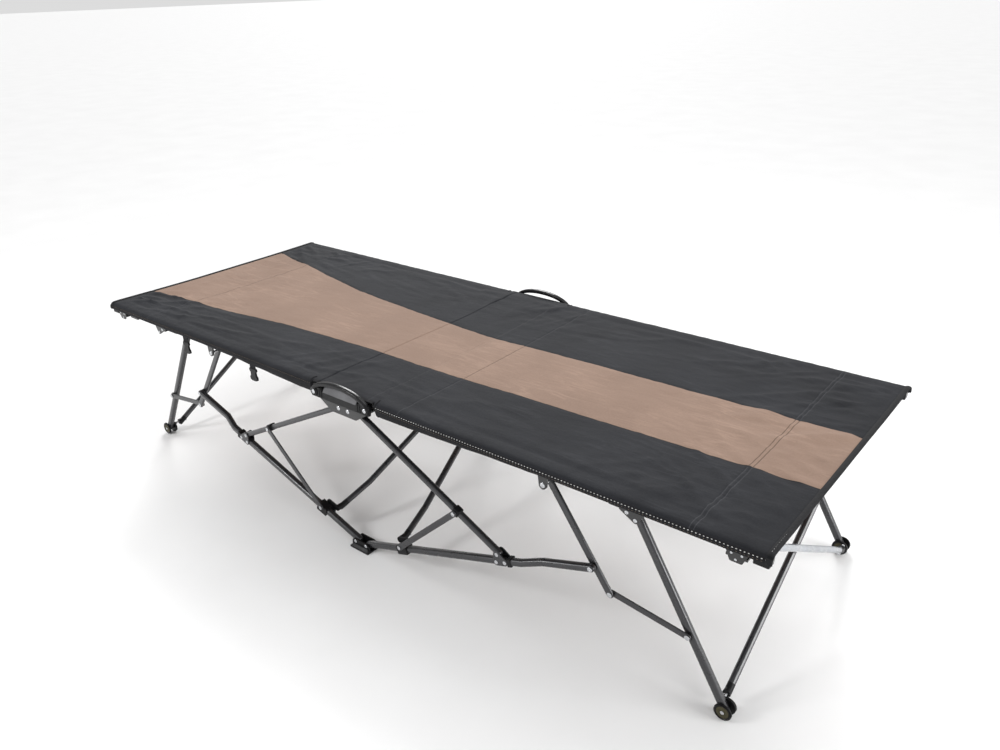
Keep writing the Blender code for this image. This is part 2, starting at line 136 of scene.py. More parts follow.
# ---- materials ----
class Nodes:
    """A short way to build a material: nodes by type, links by socket name."""

    def __init__(self, name):
        self.material = bpy.data.materials.new(name)
        self.material.use_nodes = True
        self.tree = self.material.node_tree
        self.shader = self.tree.nodes["Principled BSDF"]

    def add(self, kind, **values):
        node = self.tree.nodes.new(kind)
        for key, value in values.items():
            if hasattr(node, key):
                setattr(node, key, value)
            else:
                node.inputs[key.replace("_", " ")].default_value = value
        return node

    def link(self, source, target):
        self.tree.links.new(source, target)

    def feed(self, socket, source):
        self.link(source, self.shader.inputs[socket])

    def set(self, **values):
        for key, value in values.items():
            self.shader.inputs[key.replace("_", " ")].default_value = value

    def coordinates(self, scale=(1, 1, 1), turn=0.0):
        source = self.add("ShaderNodeTexCoord")
        mapping = self.add("ShaderNodeMapping")
        mapping.inputs["Scale"].default_value = scale
        mapping.inputs["Rotation"].default_value = (0, 0, turn)
        self.link(source.outputs["Object"], mapping.inputs["Vector"])
        return mapping.outputs["Vector"]

    def noise(self, scale, detail=4.0, stretch=(1, 1, 1), turn=0.0):
        node = self.add("ShaderNodeTexNoise", Scale=scale, Detail=detail)
        self.link(self.coordinates(stretch, turn), node.inputs["Vector"])
        return node.outputs["Fac"]

    def ramp(self, source, low, high, start=0.3, end=0.7):
        node = self.add("ShaderNodeValToRGB")
        node.color_ramp.elements[0].position = start
        node.color_ramp.elements[1].position = end
        node.color_ramp.elements[0].color = low
        node.color_ramp.elements[1].color = high
        self.link(source, node.inputs["Fac"])
        return node.outputs["Color"]

    def calculate(self, operation, first, second=None):
        """One operation on an output, or on an output and a second one or a number."""
        node = self.add("ShaderNodeMath", operation=operation)
        self.link(first, node.inputs[0])
        if isinstance(second, float):
            node.inputs[1].default_value = second
        elif second is not None:
            self.link(second, node.inputs[1])
        return node.outputs[0]

    def painted_crease_highlights(self):
        """Painted highlights: thin paler lines in patches, standing in for light caught along the folds of
        the canvas.
        """
        total = None
        for turn, scale in ((0.5, 9.0), (-0.45, 13.0), (0.05, 11.0)):
            lines = self.noise(scale, 3.0, (0.35, 2.4, 1), turn)
            distance = self.calculate("ABSOLUTE", self.calculate("SUBTRACT", lines, 0.5))
            sharp = self.ramp(distance, grey(1), grey(0), 0.0, 0.030)
            patch = self.ramp(self.noise(5.0, 2.0, (1, 1, 1), turn), grey(0), grey(0.3), 0.50, 0.68)
            both = self.calculate("MULTIPLY", sharp, patch)
            total = both if total is None else self.calculate("MAXIMUM", total, both)
        return total

    def bump(self, source, distance, strength=1.0, under=None):
        node = self.add("ShaderNodeBump", Distance=distance, Strength=strength)
        self.link(source, node.inputs["Height"])
        if under is not None:
            self.link(under, node.inputs["Normal"])
        return node.outputs["Normal"]

    def mottle(self, dark, light, scale, detail=4.0):
        """A colour that wanders between two shades."""
        self.feed("Base Color", self.ramp(self.noise(scale, detail), (*dark, 1), (*light, 1)))

    def uneven_gloss(self, low, high, scale):
        self.feed("Roughness", self.ramp(self.noise(scale), grey(low), grey(high)))

    def grain(self, scale, detail, distance, strength):
        self.feed("Normal", self.bump(self.noise(scale, detail), distance, strength))


def grey(value):
    return (value, value, value, 1.0)


def shade(colour, factor):
    return tuple(min(1, c * factor) for c in colour)


def powder_coat(name, colour, metallic, roughness):
    """Baked paint on steel: a fine orange peel and slightly uneven gloss."""
    made = Nodes(name)
    made.set(Metallic=metallic, Specular_IOR_Level=0.5, Coat_Weight=0.45, Coat_Roughness=0.14)
    made.mottle(shade(colour, 0.90), shade(colour, 1.15), 9.0, 5.0)
    made.uneven_gloss(roughness - 0.06, roughness + 0.10, 40.0)
    made.grain(900.0, 2.0, 0.00012, 0.5)
    return made.material


def moulded_plastic(name, colour, roughness):
    """Black moulded plastic with a fine spark-eroded grain."""
    made = Nodes(name)
    made.set(Specular_IOR_Level=0.22)
    made.mottle(colour, shade(colour, 1.5), 25.0, 3.0)
    made.uneven_gloss(roughness - 0.08, roughness + 0.08, 60.0)
    made.grain(1400.0, 2.0, 0.00012, 0.4)
    return made.material


def zinc(name):
    """Bright plating with a slight grain, for rivets and pins."""
    made = Nodes(name)
    made.set(Metallic=1.0, Roughness=0.24)
    bright = (0.62, 0.63, 0.65)
    made.mottle(shade(bright, 0.75), bright, 300.0)
    made.grain(1500.0, 4.0, 0.00005, 0.5)
    return made.material


# how far apart the threads of the canvas are
THREAD_PITCH = 0.0011


def weave_height(made):
    """Where threads along the bed and across it meet."""
    waves = []
    for direction in ("X", "Y"):
        wave = made.add("ShaderNodeTexWave", Scale=1 / (THREAD_PITCH * 20) * math.pi, Distortion=0.6)
        wave.wave_type = "BANDS"
        wave.bands_direction = direction
        wave.inputs["Detail"].default_value = 1.0
        made.link(made.coordinates(), wave.inputs["Vector"])
        waves.append(wave.outputs["Fac"])
    return made.calculate("MULTIPLY", *waves)


def canvas(name, dark, light, sheen=0.05):
    """Plain-weave canvas: threads both ways, slubs, creases with painted highlights along them, and a soft
    sheen.
    """
    made = Nodes(name)
    made.set(Roughness=0.82, Specular_IOR_Level=0.25, Sheen_Weight=sheen, Sheen_Roughness=0.45)
    made.set(Sheen_Tint=(*[min(1, c * 3 + 0.1) for c in light], 1))
    shade = made.add("ShaderNodeMix", data_type="FLOAT")
    shade.inputs[0].default_value = 0.45
    made.link(made.noise(220.0, 3.0, (1, 6, 1)), shade.inputs[2])
    made.link(made.noise(5.0, 6.0), shade.inputs[3])
    weave_colour = made.ramp(shade.outputs[0], (*dark, 1), (*light, 1), 0.32, 0.68)
    # painted highlight: a lighter copy of the canvas colour mixed in along the crease lines
    crease_highlight_mix = made.add("ShaderNodeMix", data_type="RGBA")
    made.link(made.painted_crease_highlights(), crease_highlight_mix.inputs[0])
    made.link(weave_colour, crease_highlight_mix.inputs[6])
    crease_highlight_mix.inputs[7].default_value = (*[min(1, c * 1.45 + 0.012) for c in light], 1)
    made.feed("Base Color", crease_highlight_mix.outputs[2])
    creases = made.bump(made.noise(9.0, 6.0, (1, 2.2, 1), 0.5), 0.0060, 0.75)
    rough_cloth = made.bump(made.noise(110.0, 4.0), 0.0006, 0.5, creases)
    made.feed("Normal", made.bump(weave_height(made), 0.0003, 0.6, rough_cloth))
    return made.material


def webbing(name, colour):
    """Woven tape: ribs across the run and a dull surface."""
    made = Nodes(name)
    made.set(Roughness=0.8, Specular_IOR_Level=0.25)
    ribs = made.add("ShaderNodeTexWave", Scale=160.0, Distortion=0.3)
    ribs.bands_direction = "X"
    made.link(made.coordinates(), ribs.inputs["Vector"])
    made.mottle(colour, shade(colour, 1.9), 180.0)
    made.feed("Normal", made.bump(ribs.outputs["Fac"], 0.0004, 0.7))
    return made.material


CHARCOAL = powder_coat("powder_coat_charcoal", (0.030, 0.030, 0.033), 0.35, 0.28)
# painted reflection: a light grey copy of the charcoal paint, for the far end tubes that look lighter in
# strong reflection
PAINTED_REFLECTION_GREY = powder_coat("powder_coat_grey", (0.30, 0.32, 0.35), 0.75, 0.30)
BLACK_METAL = powder_coat("powder_coat_black", (0.006, 0.006, 0.0065), 0.1, 0.42)
PLASTIC = moulded_plastic("black_plastic", (0.0045, 0.0045, 0.005), 0.40)
PLASTIC_GREY = moulded_plastic("grey_plastic", (0.10, 0.10, 0.105), 0.35)
GRIP = moulded_plastic("black_grip", (0.0070, 0.0070, 0.0076), 0.20)
OLIVE = moulded_plastic("olive_plastic", (0.045, 0.040, 0.020), 0.45)
ZINC = zinc("zinc_rivet")
CANVAS = canvas("canvas_charcoal", (0.0070, 0.0075, 0.0097), (0.0178, 0.0190, 0.0236))
TAN = canvas("canvas_tan", (0.212, 0.141, 0.106), (0.290, 0.198, 0.150), 0.06)
SEAM = canvas("canvas_seam", (0.0055, 0.0055, 0.0065), (0.011, 0.011, 0.013))
PALE_SEAM = canvas("canvas_pale_seam", (0.026, 0.027, 0.031), (0.044, 0.046, 0.052), 0.06)
TAN_SEAM = canvas("canvas_tan_seam", (0.085, 0.055, 0.040), (0.12, 0.080, 0.058))
TAPE = webbing("binding_tape", (0.008, 0.008, 0.009))
THREAD = webbing("thread_white", (0.42, 0.42, 0.41))
THREAD_BROWN = webbing("thread_brown", (0.10, 0.078, 0.060))


# ---- helpers ----
def quarters():
    """The four quarters of the frame: the sign of each side and half, and how its names end."""
    for side_name, side in SIDES.items():
        for half_name, half in HALVES.items():
            yield side, half, f"{side_name}_{half_name}"


def mesh_from(bm, name, smooth_angle=35):
    mesh = bpy.data.meshes.new(name)
    bm.to_mesh(mesh)
    bm.free()
    mesh.shade_smooth()
    mesh.set_sharp_from_angle(angle=math.radians(smooth_angle))
    return mesh


def rounded(obj, width, segments=3, angle=40):
    bevel = obj.modifiers.new("edges", "BEVEL")
    bevel.width = width
    bevel.segments = segments
    bevel.limit_method = "ANGLE"
    bevel.angle_limit = math.radians(angle)


def new_piece(bm, name, materials, body=None, edge=0.0, smooth_angle=35):
    """A piece made of the bmesh, carried by a body; edge is how wide its rounded edges are."""
    piece = bpy.data.objects.new(name, mesh_from(bm, name, smooth_angle))
    bpy.context.scene.collection.objects.link(piece)
    for material in materials:
        piece.data.materials.append(material)
    if body:
        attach(piece, body)
    if edge:
        rounded(piece, edge)
    return piece


def add_lathe(bm, centre, axis, profile, count=20, material=0):
    """A turned shape: profile points are (radius, height along the axis); it closes on the axis."""
    axis = Vector(axis).normalized()
    across = axis.orthogonal().normalized()
    other = axis.cross(across)
    turns = [math.tau * i / count for i in range(count)]
    rings = []
    for radius, height in profile:
        middle = Vector(centre) + axis * height
        if radius < 1e-7:
            rings.append([bm.verts.new(middle)])
            continue
        spots = [middle + radius * (across * math.cos(a) + other * math.sin(a)) for a in turns]
        rings.append([bm.verts.new(spot) for spot in spots])
    for low, high in zip(rings, rings[1:]):
        for i in range(count):
            j = i + 1
            corners = [low[i % len(low)], low[j % len(low)], high[j % len(high)], high[i % len(high)]]
            corners = list(dict.fromkeys(corners))
            if len(corners) > 2:
                face = bm.faces.new(corners)
                face.material_index = material


def cylinder(radius, length):
    """The profile of a plain cylinder, for the lathe."""
    return [(0, 0), (radius, 0), (radius, length), (0, length)]


def rivet_profile(radius, height):
    """A domed head with a small dimple at its centre, closed under its flange."""
    return [
        (0, -0.0004), (radius, -0.0004), (radius, height * 0.35), (radius * 0.90, height * 0.75),
        (radius * 0.62, height), (radius * 0.34, height), (radius * 0.24, height * 0.55), (0, height * 0.5)]


def world(point, y, half=1, side=1):
    return Vector((half * point[0], side * y, point[1]))


def skin(bm, rings):
    """Faces round a row of equal rings, and one over each end."""
    count = len(rings[0])
    for low, high in zip(rings, rings[1:]):
        for i in range(count):
            j = (i + 1) % count
            bm.faces.new((low[i], low[j], high[j], high[i]))
    bm.faces.new(rings[0])
    bm.faces.new(list(reversed(rings[-1])))
    bmesh.ops.recalc_face_normals(bm, faces=bm.faces)


def add_prism(bm, outline, layer, half, side):
    skin(bm, [[bm.verts.new(world(p, y, half, side)) for p in outline] for y in layer])


def plate_piece(name, material, body, parts, half, side, edge=0.0):
    """A piece made of flat prisms, each given as its outline and its layer."""
    bm = bmesh.new()
    for outline, layer in parts:
        add_prism(bm, outline, layer, half, side)
    return new_piece(bm, name, [material], body, edge)


def rectangle(left, low, right, high):
    return [Vector(corner) for corner in ((left, low), (right, low), (right, high), (left, high))]


def tilted_rectangle(origin, axis, left, low, right, high):
    """A rectangle that lies along an axis, measured from a point on it."""
    normal = Vector((-axis.y, axis.x))
    return [origin + axis * along + normal * up for along, up in rectangle(left, low, right, high)]


def mirrored(points, middle=0.0):
    """An outline from the points of its right half, measured from its middle."""
    right = [Vector((middle + x, z)) for x, z in points]
    return right + [Vector((middle - x, z)) for x, z in reversed(points)]


def circle(centre, radius, count=24):
    turns = [math.tau * i / count for i in range(count)]
    return [Vector(centre) + radius * Vector((math.cos(a), math.sin(a))) for a in turns]


def outline_round(circles):
    """The outline of a plate stretched round some circles, each given as its centre and radius."""
    points = [p for centre, radius in circles for p in circle(centre, radius)]
    return [points[i] for i in convex_hull_2d(points)]


# ---- the camera and the light ----
def set_camera():
    data = bpy.data.cameras.new("camera")
    data.lens = 30.5
    camera = bpy.data.objects.new("camera", data)
    camera.location = (1.494, -1.617, 1.386)
    camera.rotation_euler = Euler([math.radians(a) for a in (64.995, 1.40, 38.757)])
    bpy.context.scene.collection.objects.link(camera)
    bpy.context.scene.camera = camera


def set_light():
    scene = bpy.context.scene
    scene.view_settings.view_transform = "Standard"
    backdrop = bpy.data.worlds.new("studio")
    backdrop.use_nodes = True
    background = backdrop.node_tree.nodes["Background"]
    background.inputs["Color"].default_value = (1, 1, 1, 1)
    background.inputs["Strength"].default_value = 0.72
    scene.world = backdrop
    lamps = (
        ("sun", "SUN", (-0.9, 1.1, 1.25), math.radians(22), 1.7),
        ("top", "AREA", (0.6, 1.4, 3.6), 2.0, 25),
        ("front", "AREA", (-1.5, -2.7, 1.9), 0.7, 38),
        ("rim", "AREA", (3.4, 0.4, 1.0), 1.4, 55))
    for name, kind, place, spread, power in lamps:
        data = bpy.data.lights.new(name, kind)
        if kind == "SUN":
            data.angle = spread
        else:
            data.size = spread
        data.energy = power
        lamp = bpy.data.objects.new(name, data)
        lamp.location = place
        lamp.rotation_euler = (Vector((0, 0, 0.3)) - Vector(place)).to_track_quat("-Z", "Y").to_euler()
        scene.collection.objects.link(lamp)


def make_floor():
    bm = bmesh.new()
    bmesh.ops.create_grid(bm, x_segments=1, y_segments=1, size=70)
    made = Nodes("pale_floor")
    made.set(Roughness=0.75, Specular_IOR_Level=0.2)
    made.feed("Base Color", made.ramp(made.noise(3.0), grey(0.88), grey(0.91)))
    floor = new_piece(bm, "floor", [made.material])
    floor.location.z = -0.0002
    floor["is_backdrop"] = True


# ---- CAD nodes: better surfaces, edges rounded by a modifier ----
# material and width of the rounded edges, by the start of a node's name; other bars and tubes are charcoal,
# and the far end tubes take a light grey coat as painted reflection
NODE_LOOKS = {
    "rail": (BLACK_METAL, 0), "end_tube_far": (PAINTED_REFLECTION_GREY, 0), "collar": (PLASTIC, 0.0016),
    "roller": (PLASTIC, 0.0010), "foot": (PLASTIC, 0.0012), "handle": (PLASTIC, 0),
    "hub": (BLACK_METAL, 0.0006), "end_bracket": (BLACK_METAL, 0.0006)}


def dress_nodes():
    for name, obj in frame["nodes"].items():
        if name.startswith("cloth"):
            continue
        looks = [look for kind, look in NODE_LOOKS.items() if name.startswith(kind)]
        material, edge = looks[0] if looks else (CHARCOAL, 0)
        obj.data.materials.clear()
        obj.data.materials.append(material)
        if edge:
            rounded(obj, edge, angle=50)
        for polygon in obj.data.polygons:
            polygon.use_smooth = True
        normals = obj.modifiers.new("flat faces", "WEIGHTED_NORMAL")
        normals.keep_sharp = True


# ---- rivets ----
def strut_foot_along():
    """How far along the lower bar the strut's foot is."""
    return (STRUT_FOOT - FOOT_PIVOT).dot(bar_axis)


def plate_corners():
    """The three rivets of the plates that hold the strut's foot to the lower bar."""
    along = strut_foot_along()
    return [STRUT_FOOT] + [FOOT_PIVOT + bar_axis * (along + offset) for offset in PLATE_RIVETS]


def rivet_places():
    """Every rivet of one quarter: body, (x, z), the face it sits on, which way, radius, height."""
    for place in plate_corners():
        yield "lower_bar", place, OUTER_STRUT_PLATE[1], 1, 0.0050, 0.0006
        yield "lower_bar", place, INNER_STRUT_PLATE[0], -1, 0.0050, 0.0016
    yield "lower_bar", BAR_TIP, 0.3895, 1, 0.0060, 0.0010
    yield "inner_leg", LINK_TOP, LAYERS["inner_leg"][1], 1, 0.0062, 0.0009
    yield "inner_leg", BAR_TIP, LAYERS["inner_leg"][0], -1, 0.0058, 0.0012
    yield "link", LINK_TOP, LAYERS["link"][0], -1, 0.0055, 0.0012
    yield "outer_leg", LINK_FOOT, 0.3655, 1, 0.0060, 0.0010
    yield "outer_leg", LINK_FOOT, LAYERS["outer_leg"][0], -1, 0.0055, 0.0012
    yield "strut", BRACE_HEAD, BRACE_WASHER_FACE, 1, 0.0055, 0.0010
    yield "brace", COLLAR_PIVOT, BRACE_WASHER_FACE, 1, 0.0055, 0.0010
    yield "rail", OUTER_LEG_PIVOT, 0.3585, 1, 0.0062, 0.0016
    yield "rail", OUTER_LEG_PIVOT, 0.3355, -1, 0.0062, 0.0016
    yield "rail", INNER_LEG_PIVOT, 0.3950, 1, 0.0062, 0.0016
    for x, z in ((1.027, 0.4560), (1.047, 0.4560), (1.036, 0.4440)):
        yield "rail", Vector((x, z)), OUTER_END_PLATE[1], 1, 0.0027, 0.0012
    for place in (LEG_PLATE_LOW, LEG_PLATE_HIGH):
        yield "rail", place, LEG_PLATE[1], 1, 0.0044, 0.0014


def add_rivet(bm, place, face, way, profile, half, side):
    add_lathe(bm, world(place, face, half, side), (0, side * way, 0), profile)


def make_quarter_rivets(side, half, tail):
    meshes = {}
    for body, place, face, way, radius, height in rivet_places():
        if body not in meshes:
            meshes[body] = bmesh.new()
        add_rivet(meshes[body], place, face, way, rivet_profile(radius, height), half, side)
    add_rivet(meshes["rail"], INNER_LEG_PIVOT, 0.3910, -1, cylinder(0.0042, 0.0185), half, side)
    for body, bm in meshes.items():
        new_piece(bm, f"rivets_{body}_{tail}", [ZINC], f"{body}_{tail}")


def make_middle_rivets(side_name, side):
    """The rivets through both plates of a hub, and through both ears of a foot."""
    hub, foot = bmesh.new(), bmesh.new()
    hub_places = (
        (RAIL_PIVOT, BOSS_FRONT, 1), (STRUT_HEAD, HUB_OUTER_FACE, 1),
        (RAIL_PIVOT, HUB_INNER_FACE, -1), (STRUT_HEAD, HUB_INNER_FACE, -1))
    for half in (1, -1):
        for place, face, way in hub_places:
            add_rivet(hub, place, face, way, rivet_profile(0.0060, 0.0016), half, side)
        for face, way in ((FOOT_EARS[1], 1), (FOOT_EARS[0], -1)):
            add_rivet(foot, FOOT_PIVOT, face, way, rivet_profile(0.0055, 0.0014), half, side)
    new_piece(hub, f"rivets_hub_{side_name}", [ZINC], f"hub_{side_name}")
    new_piece(foot, f"rivets_foot_{side_name}", [ZINC], f"foot_{side_name}")


def make_rivets():
    for side_name, side in SIDES.items():
        for half_name, half in HALVES.items():
            make_quarter_rivets(side, half, f"{side_name}_{half_name}")
        make_middle_rivets(side_name, side)


# ---- rollers ----
ROLLER_FACES = (("outer", 0.3587, 1), ("inner", 0.3325, -1))
ROLLER_RIM = (
    (0, -0.0004), (0.0180, -0.0004), (0.0180, 0.0012), (0.0168, 0.0020), (0.0156, 0.0012),
    (0.0148, 0.0004), (0, 0.0004))
ROLLER_DISC = (
    (0, 0.0002), (0.0142, 0.0002), (0.0136, 0.0011), (0.0075, 0.0013), (0.0068, 0.0006), (0, 0.0006))
AXLE_END = (
    (0, 0.0004), (0.0046, 0.0004), (0.0044, 0.0020), (0.0030, 0.0028), (0.0012, 0.0026), (0, 0.0020))


def make_roller_faces():
    """The recessed coloured disc, the raised rim and the silver axle end of each roller."""
    for side, half, tail in quarters():
        for tag, face, way in ROLLER_FACES:
            bm = bmesh.new()
            centre = world(ROLLER_AXLE, face, half, side)
            for number, (profile, count) in enumerate(((ROLLER_RIM, 32), (ROLLER_DISC, 32), (AXLE_END, 24))):
                add_lathe(bm, centre, (0, side * way, 0), profile, count, number)
            name = f"roller_{tail}"
            new_piece(bm, f"{name}_{tag}_face", [PLASTIC, OLIVE, ZINC], name)


# ---- bars, struts and legs ----
# start, end, half of the width, radius of the long edges, and the step of the only member that has one
MEMBERS = (
    ("lower_bar", FOOT_PIVOT, BAR_TIP, 0.0085, 0.0060, STEP),
    ("strut", STRUT_FOOT, STRUT_HEAD, 0.0075, 0.0056, None),
    ("brace", BRACE_HEAD, COLLAR_PIVOT, 0.0080, 0.0014, None),
    ("inner_leg", INNER_LEG_PIVOT, LINK_TOP, 0.0085, 0.0034, None),
    ("link", LINK_TOP, LINK_FOOT, 0.0075, 0.0016, None),
    ("outer_leg", OUTER_LEG_PIVOT, ROLLER_AXLE, 0.0095, 0.0068, None))


def member_side(length, radius, stations):
    """One side of a bar with round ends, as (along, across) pairs."""
    turns = [math.pi / 2 * i / 7 for i in range(8)]
    side = [(-radius * math.cos(a), radius * math.sin(a)) for a in turns]
    side += [(station, radius) for station in stations]
    side += [(length + radius * math.sin(a), radius * math.cos(a)) for a in turns]
    return side


def moved_in(along, step):
    """How far a bar with a step has moved at a place along it."""
    if not step:
        return 0
    start, end, shift = step
    return shift * min(1, max(0, (along - start) / (end - start)))


def add_member(bm, start, end, layer, radius, corner, step, half, side):
    """A tube of rounded rectangular section with round ends, between two pivots."""
    length = (end - start).length
    axis = (end - start) / length
    normal = Vector((-axis.y, axis.x))
    turns = [math.pi / 2 * i / 5 for i in range(6)]
    fillet = [(corner * (1 - math.sin(a)), corner * (1 - math.cos(a))) for a in turns]
    levels = [(inset, layer[0] + rise) for inset, rise in fillet]
    levels += [(inset, layer[1] - rise) for inset, rise in reversed(fillet)]
    rings = []
    for inset, y in levels:
        ring = []
        for flip in (1, -1):
            verts = []
            for along, across in member_side(length, radius - inset, step[:2] if step else ()):
                place = start + axis * along + normal * across * flip
                verts.append(bm.verts.new(world(place, y + moved_in(along, step), half, side)))
            ring.append(verts)
        rings.append(ring)
    for low, high in zip(rings, rings[1:]):
        for k in (0, 1):
            for i in range(len(low[k]) - 1):
                bm.faces.new((low[k][i], low[k][i + 1], high[k][i + 1], high[k][i]))
    for ring in (rings[0], rings[-1]):
        for i in range(len(ring[0]) - 1):
            bm.faces.new((ring[0][i], ring[0][i + 1], ring[1][i + 1], ring[1][i]))
    bmesh.ops.remove_doubles(bm, verts=bm.verts, dist=1e-6)
    bmesh.ops.dissolve_degenerate(bm, edges=bm.edges, dist=1e-7)
    bmesh.ops.recalc_face_normals(bm, faces=bm.faces)


def make_members():
    for side, half, tail in quarters():
        for kind, start, end, radius, corner, step in MEMBERS:
            name = f"{kind}_{tail}"
            bm = bmesh.new()
            add_member(bm, start, end, LAYERS[kind], radius, corner, step, half, side)
            tube = new_piece(bm, f"{name}_tube", [CHARCOAL], name, smooth_angle=50)
            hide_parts(name)
        make_strut_plates(side, half, tail)
        make_bushings(side, half, tail)


def make_strut_plates(side, half, tail):
    """The two three-cornered plates that hold the strut's foot to the lower bar."""
    outline = outline_round(list(zip(plate_corners(), (0.010, 0.0083, 0.0083))))
    parts = [(outline, layer) for layer in (OUTER_STRUT_PLATE, INNER_STRUT_PLATE)]
    name = f"strut_plates_{tail}"
    plate_piece(name, CHARCOAL, f"lower_bar_{tail}", parts, half, side, 0.0006)


def make_bushings(side, half, tail):
    """Black plastic spacers, clamps and washers of one quarter."""
    foot = strut_foot_along()
    block = tilted_rectangle(FOOT_PIVOT, bar_axis, foot + 0.024, -0.0098, foot + 0.036, 0.0098)
    spacer = outline_round([(STRUT_FOOT, 0.0092), (plate_corners()[2], 0.0070)])
    parts = ((block, (0.3842, 0.4048)), (spacer, (0.3856, 0.3866)))
    name = f"bar_clamp_{tail}"
    plate_piece(name, PLASTIC, f"lower_bar_{tail}", parts, half, side, 0.0012)
    bm = bmesh.new()
    add_lathe(bm, world(BAR_TIP, 0.3736, half, side), (0, -side, 0), cylinder(0.0092, 0.0011), 28)
    new_piece(bm, f"tip_washer_{tail}", [PLASTIC], f"lower_bar_{tail}")
    bm = bmesh.new()
    add_lathe(bm, world(LINK_FOOT, 0.3556, half, side), (0, side, 0), cylinder(0.0094, 0.0031), 28)
    new_piece(bm, f"leg_washer_{tail}", [PLASTIC], f"outer_leg_{tail}")
    strut_axis = (STRUT_HEAD - STRUT_FOOT).normalized()
    block = tilted_rectangle(BRACE_HEAD, strut_axis, -0.0105, -0.0108, 0.0105, 0.0090)
    parts = ((block, (0.3850, 0.4062)),)
    clamp = plate_piece(
        f"strut_clamp_{tail}", PLASTIC, f"strut_{tail}", parts, half, side)
    rounded(clamp, 0.0040, 4)


# ---- the middle: handle and foot ----
# the arch of the grip: half of its span, its rise, and how high its ends are
ARCH_REACH, ARCH_RISE, ARCH_FOOT = 0.0985, 0.0356, 0.4560
GRIP_RADIUS = 0.0064
GRIP_FRONT = 0.4298
ARCH_STEPS = 48
# right half of the plate behind the grip
HANDLE_PLATE = (
    (0.104, 0.4425), (0.105, 0.450), (0.104, 0.4630), (0.090, 0.4725), (0.072, 0.4700), (0.063, 0.4622))
BOSS = (
    (0, 0), (0.0130, 0), (0.0130, 0.0095), (0.0120, 0.0112), (0.0100, 0.0118), (0.0092, 0.0108), (0, 0.0108))
# cross-section of the ledge in the grip's slot, (y, z): front and back of its top, back and front below
LEDGE = ((0.4268, 0.4622), (0.4158, 0.4772), (0.4158, 0.4742), (0.4230, 0.4615))
LEDGE_REACH = 0.061


def arch_point(turn, out):
    across = (ARCH_REACH + out) * math.cos(turn)
    return Vector((across, ARCH_FOOT + (ARCH_RISE + out) * math.sin(turn)))


def rounded_square(count=20):
    for i in range(count):
        turn = math.tau * i / count
        yield [math.copysign(abs(part) ** 0.6, part) for part in (math.cos(turn), math.sin(turn))]


def make_grip(side_name, side):
    bm = bmesh.new()
    rings = []
    for i in range(ARCH_STEPS + 1):
        turn = math.pi * i / ARCH_STEPS
        half_depth = 0.0058 + 0.0012 * math.sin(turn)
        ring = []
        for out, across in rounded_square():
            y = GRIP_FRONT - half_depth + half_depth * across
            ring.append(bm.verts.new(world(arch_point(turn, GRIP_RADIUS * out), y, 1, side)))
        rings.append(ring)
    skin(bm, rings)
    grip = new_piece(
        bm, f"handle_grip_{side_name}", [GRIP], f"hub_{side_name}", smooth_angle=50)
    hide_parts(f"handle_{side_name}")


def make_handle_plate(side_name, side):
    parts = ((mirrored(HANDLE_PLATE), (HANDLE_BACK, 0.4262)),)
    name = f"handle_plate_{side_name}"
    plate_piece(name, PLASTIC, f"hub_{side_name}", parts, 1, side, 0.0014)


def make_handle_bosses(side_name, side):
    """The round boss over each rail's pivot, and two ribs beside it."""
    bm = bmesh.new()
    for half in (1, -1):
        add_lathe(bm, world(RAIL_PIVOT, HANDLE_BACK, half, side), (0, side, 0), BOSS, 36)
        for x in (0.074, 0.066):
            rib = rectangle(half * (x - 0.0014), 0.446, half * (x + 0.0014), 0.466)
            add_prism(bm, rib, (0.4258, 0.4274), 1, side)
    new_piece(bm, f"handle_bosses_{side_name}", [PLASTIC], f"hub_{side_name}")


def make_handle_ledge(side_name, side):
    bm = bmesh.new()
    ends = (-LEDGE_REACH, LEDGE_REACH)
    verts = [bm.verts.new((x, side * y, z)) for y, z in LEDGE for x in ends]
    for quad in ((0, 1, 3, 2), (2, 3, 5, 4), (4, 5, 7, 6), (6, 7, 1, 0), (0, 2, 4, 6), (1, 7, 5, 3)):
        bm.faces.new([verts[i] for i in quad])
    bmesh.ops.recalc_face_normals(bm, faces=bm.faces)
    new_piece(bm, f"handle_ledge_{side_name}", [PLASTIC_GREY], f"hub_{side_name}", 0.0010)


def make_handles():
    """The moulded handle: an arched grip, a plate, two bosses and a grey ledge in its slot."""
    for side_name, side in SIDES.items():
        make_grip(side_name, side)
        make_handle_plate(side_name, side)
        make_handle_bosses(side_name, side)
        make_handle_ledge(side_name, side)


def make_feet():
    """The flared skirt of each middle foot, outside its two ears."""
    quads = ((0, 1, 2, 3), (3, 2, 4, 5), (5, 4, 7, 6), (6, 7, 1, 0), (1, 7, 4, 2), (0, 3, 5, 6))
    for side_name, side in SIDES.items():
        bm = bmesh.new()
        for face, edge in ((FOOT_EARS[1], 0.4172), (FOOT_EARS[0], 0.3718)):
            lip = face + math.copysign(0.0012, edge - face)
            top = [(x, face, 0.0110) for x in (-0.029, 0.029)]
            upper = [(x, lip, 0.0114) for x in (0.028, -0.028)]
            low = [(x, edge, 0.0048) for x in (0.033, -0.033)]
            back = [(x, face, 0.0048) for x in (-0.033, 0.033)]
            verts = [bm.verts.new((x, side * y, z)) for x, y, z in (*top, *upper, *low, *back)]
            for quad in quads:
                bm.faces.new([verts[i] for i in quad])
        bmesh.ops.recalc_face_normals(bm, faces=bm.faces)
        new_piece(bm, f"foot_skirt_{side_name}", [PLASTIC], f"foot_{side_name}", 0.0010)


# ---- ends of the crossed tubes ----
# kind, top, foot, how far out its pin reaches, how far short of that its knuckle ends, what holds the pin
TUBES = (
    ("end_tube", END_TUBE_TOP, END_TUBE_FOOT, 0.3300, 0.0115, "outer_leg"),
    ("centre_tube", CENTRE_TUBE_TOP, CENTRE_TUBE_FOOT, 0.3770, 0.001, "centre_tube"))


